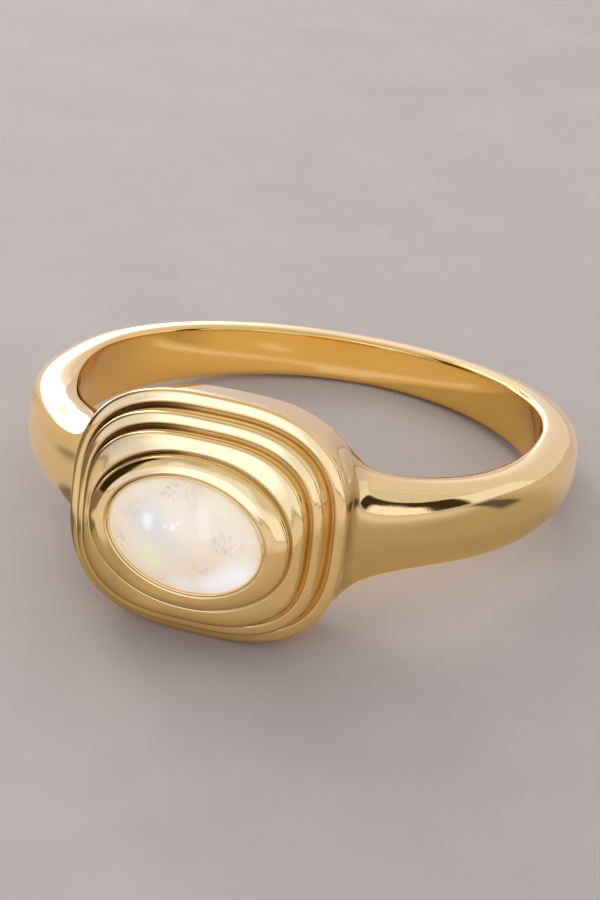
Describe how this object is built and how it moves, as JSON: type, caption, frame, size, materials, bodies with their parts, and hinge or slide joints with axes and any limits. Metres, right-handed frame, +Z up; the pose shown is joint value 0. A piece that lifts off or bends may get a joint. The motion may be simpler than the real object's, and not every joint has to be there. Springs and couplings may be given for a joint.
{
  "type": "finger ring with an oval moonstone cabochon in a stepped cushion setting",
  "caption": "Finger ring with a stepped cushion head, an oval cabochon in a smooth bezel, and shoulders that taper to a slim band.",
  "frame": {"origin": "on the surface that the ring lies on, under the middle of its box", "axes": "+Z up; -Y the way the head and its stone face; +X to the right of the head as seen from the front. The finger hole's axis leans 9.25 degrees from +Z towards +Y, because the ring lies on the head's lower rim and the back of its band."},
  "size_m": [0.0202, 0.0239, 0.0084],
  "materials": {
    "gold_plate": "yellow gold plate, mirror polished",
    "moonstone": "milky translucent cabochon, polished, with a faint blue and yellow glow"
  },
  "bodies": {
    "root": {"ring_body": "gold_plate", "stone": "moonstone"}
  },
  "joints": []
}
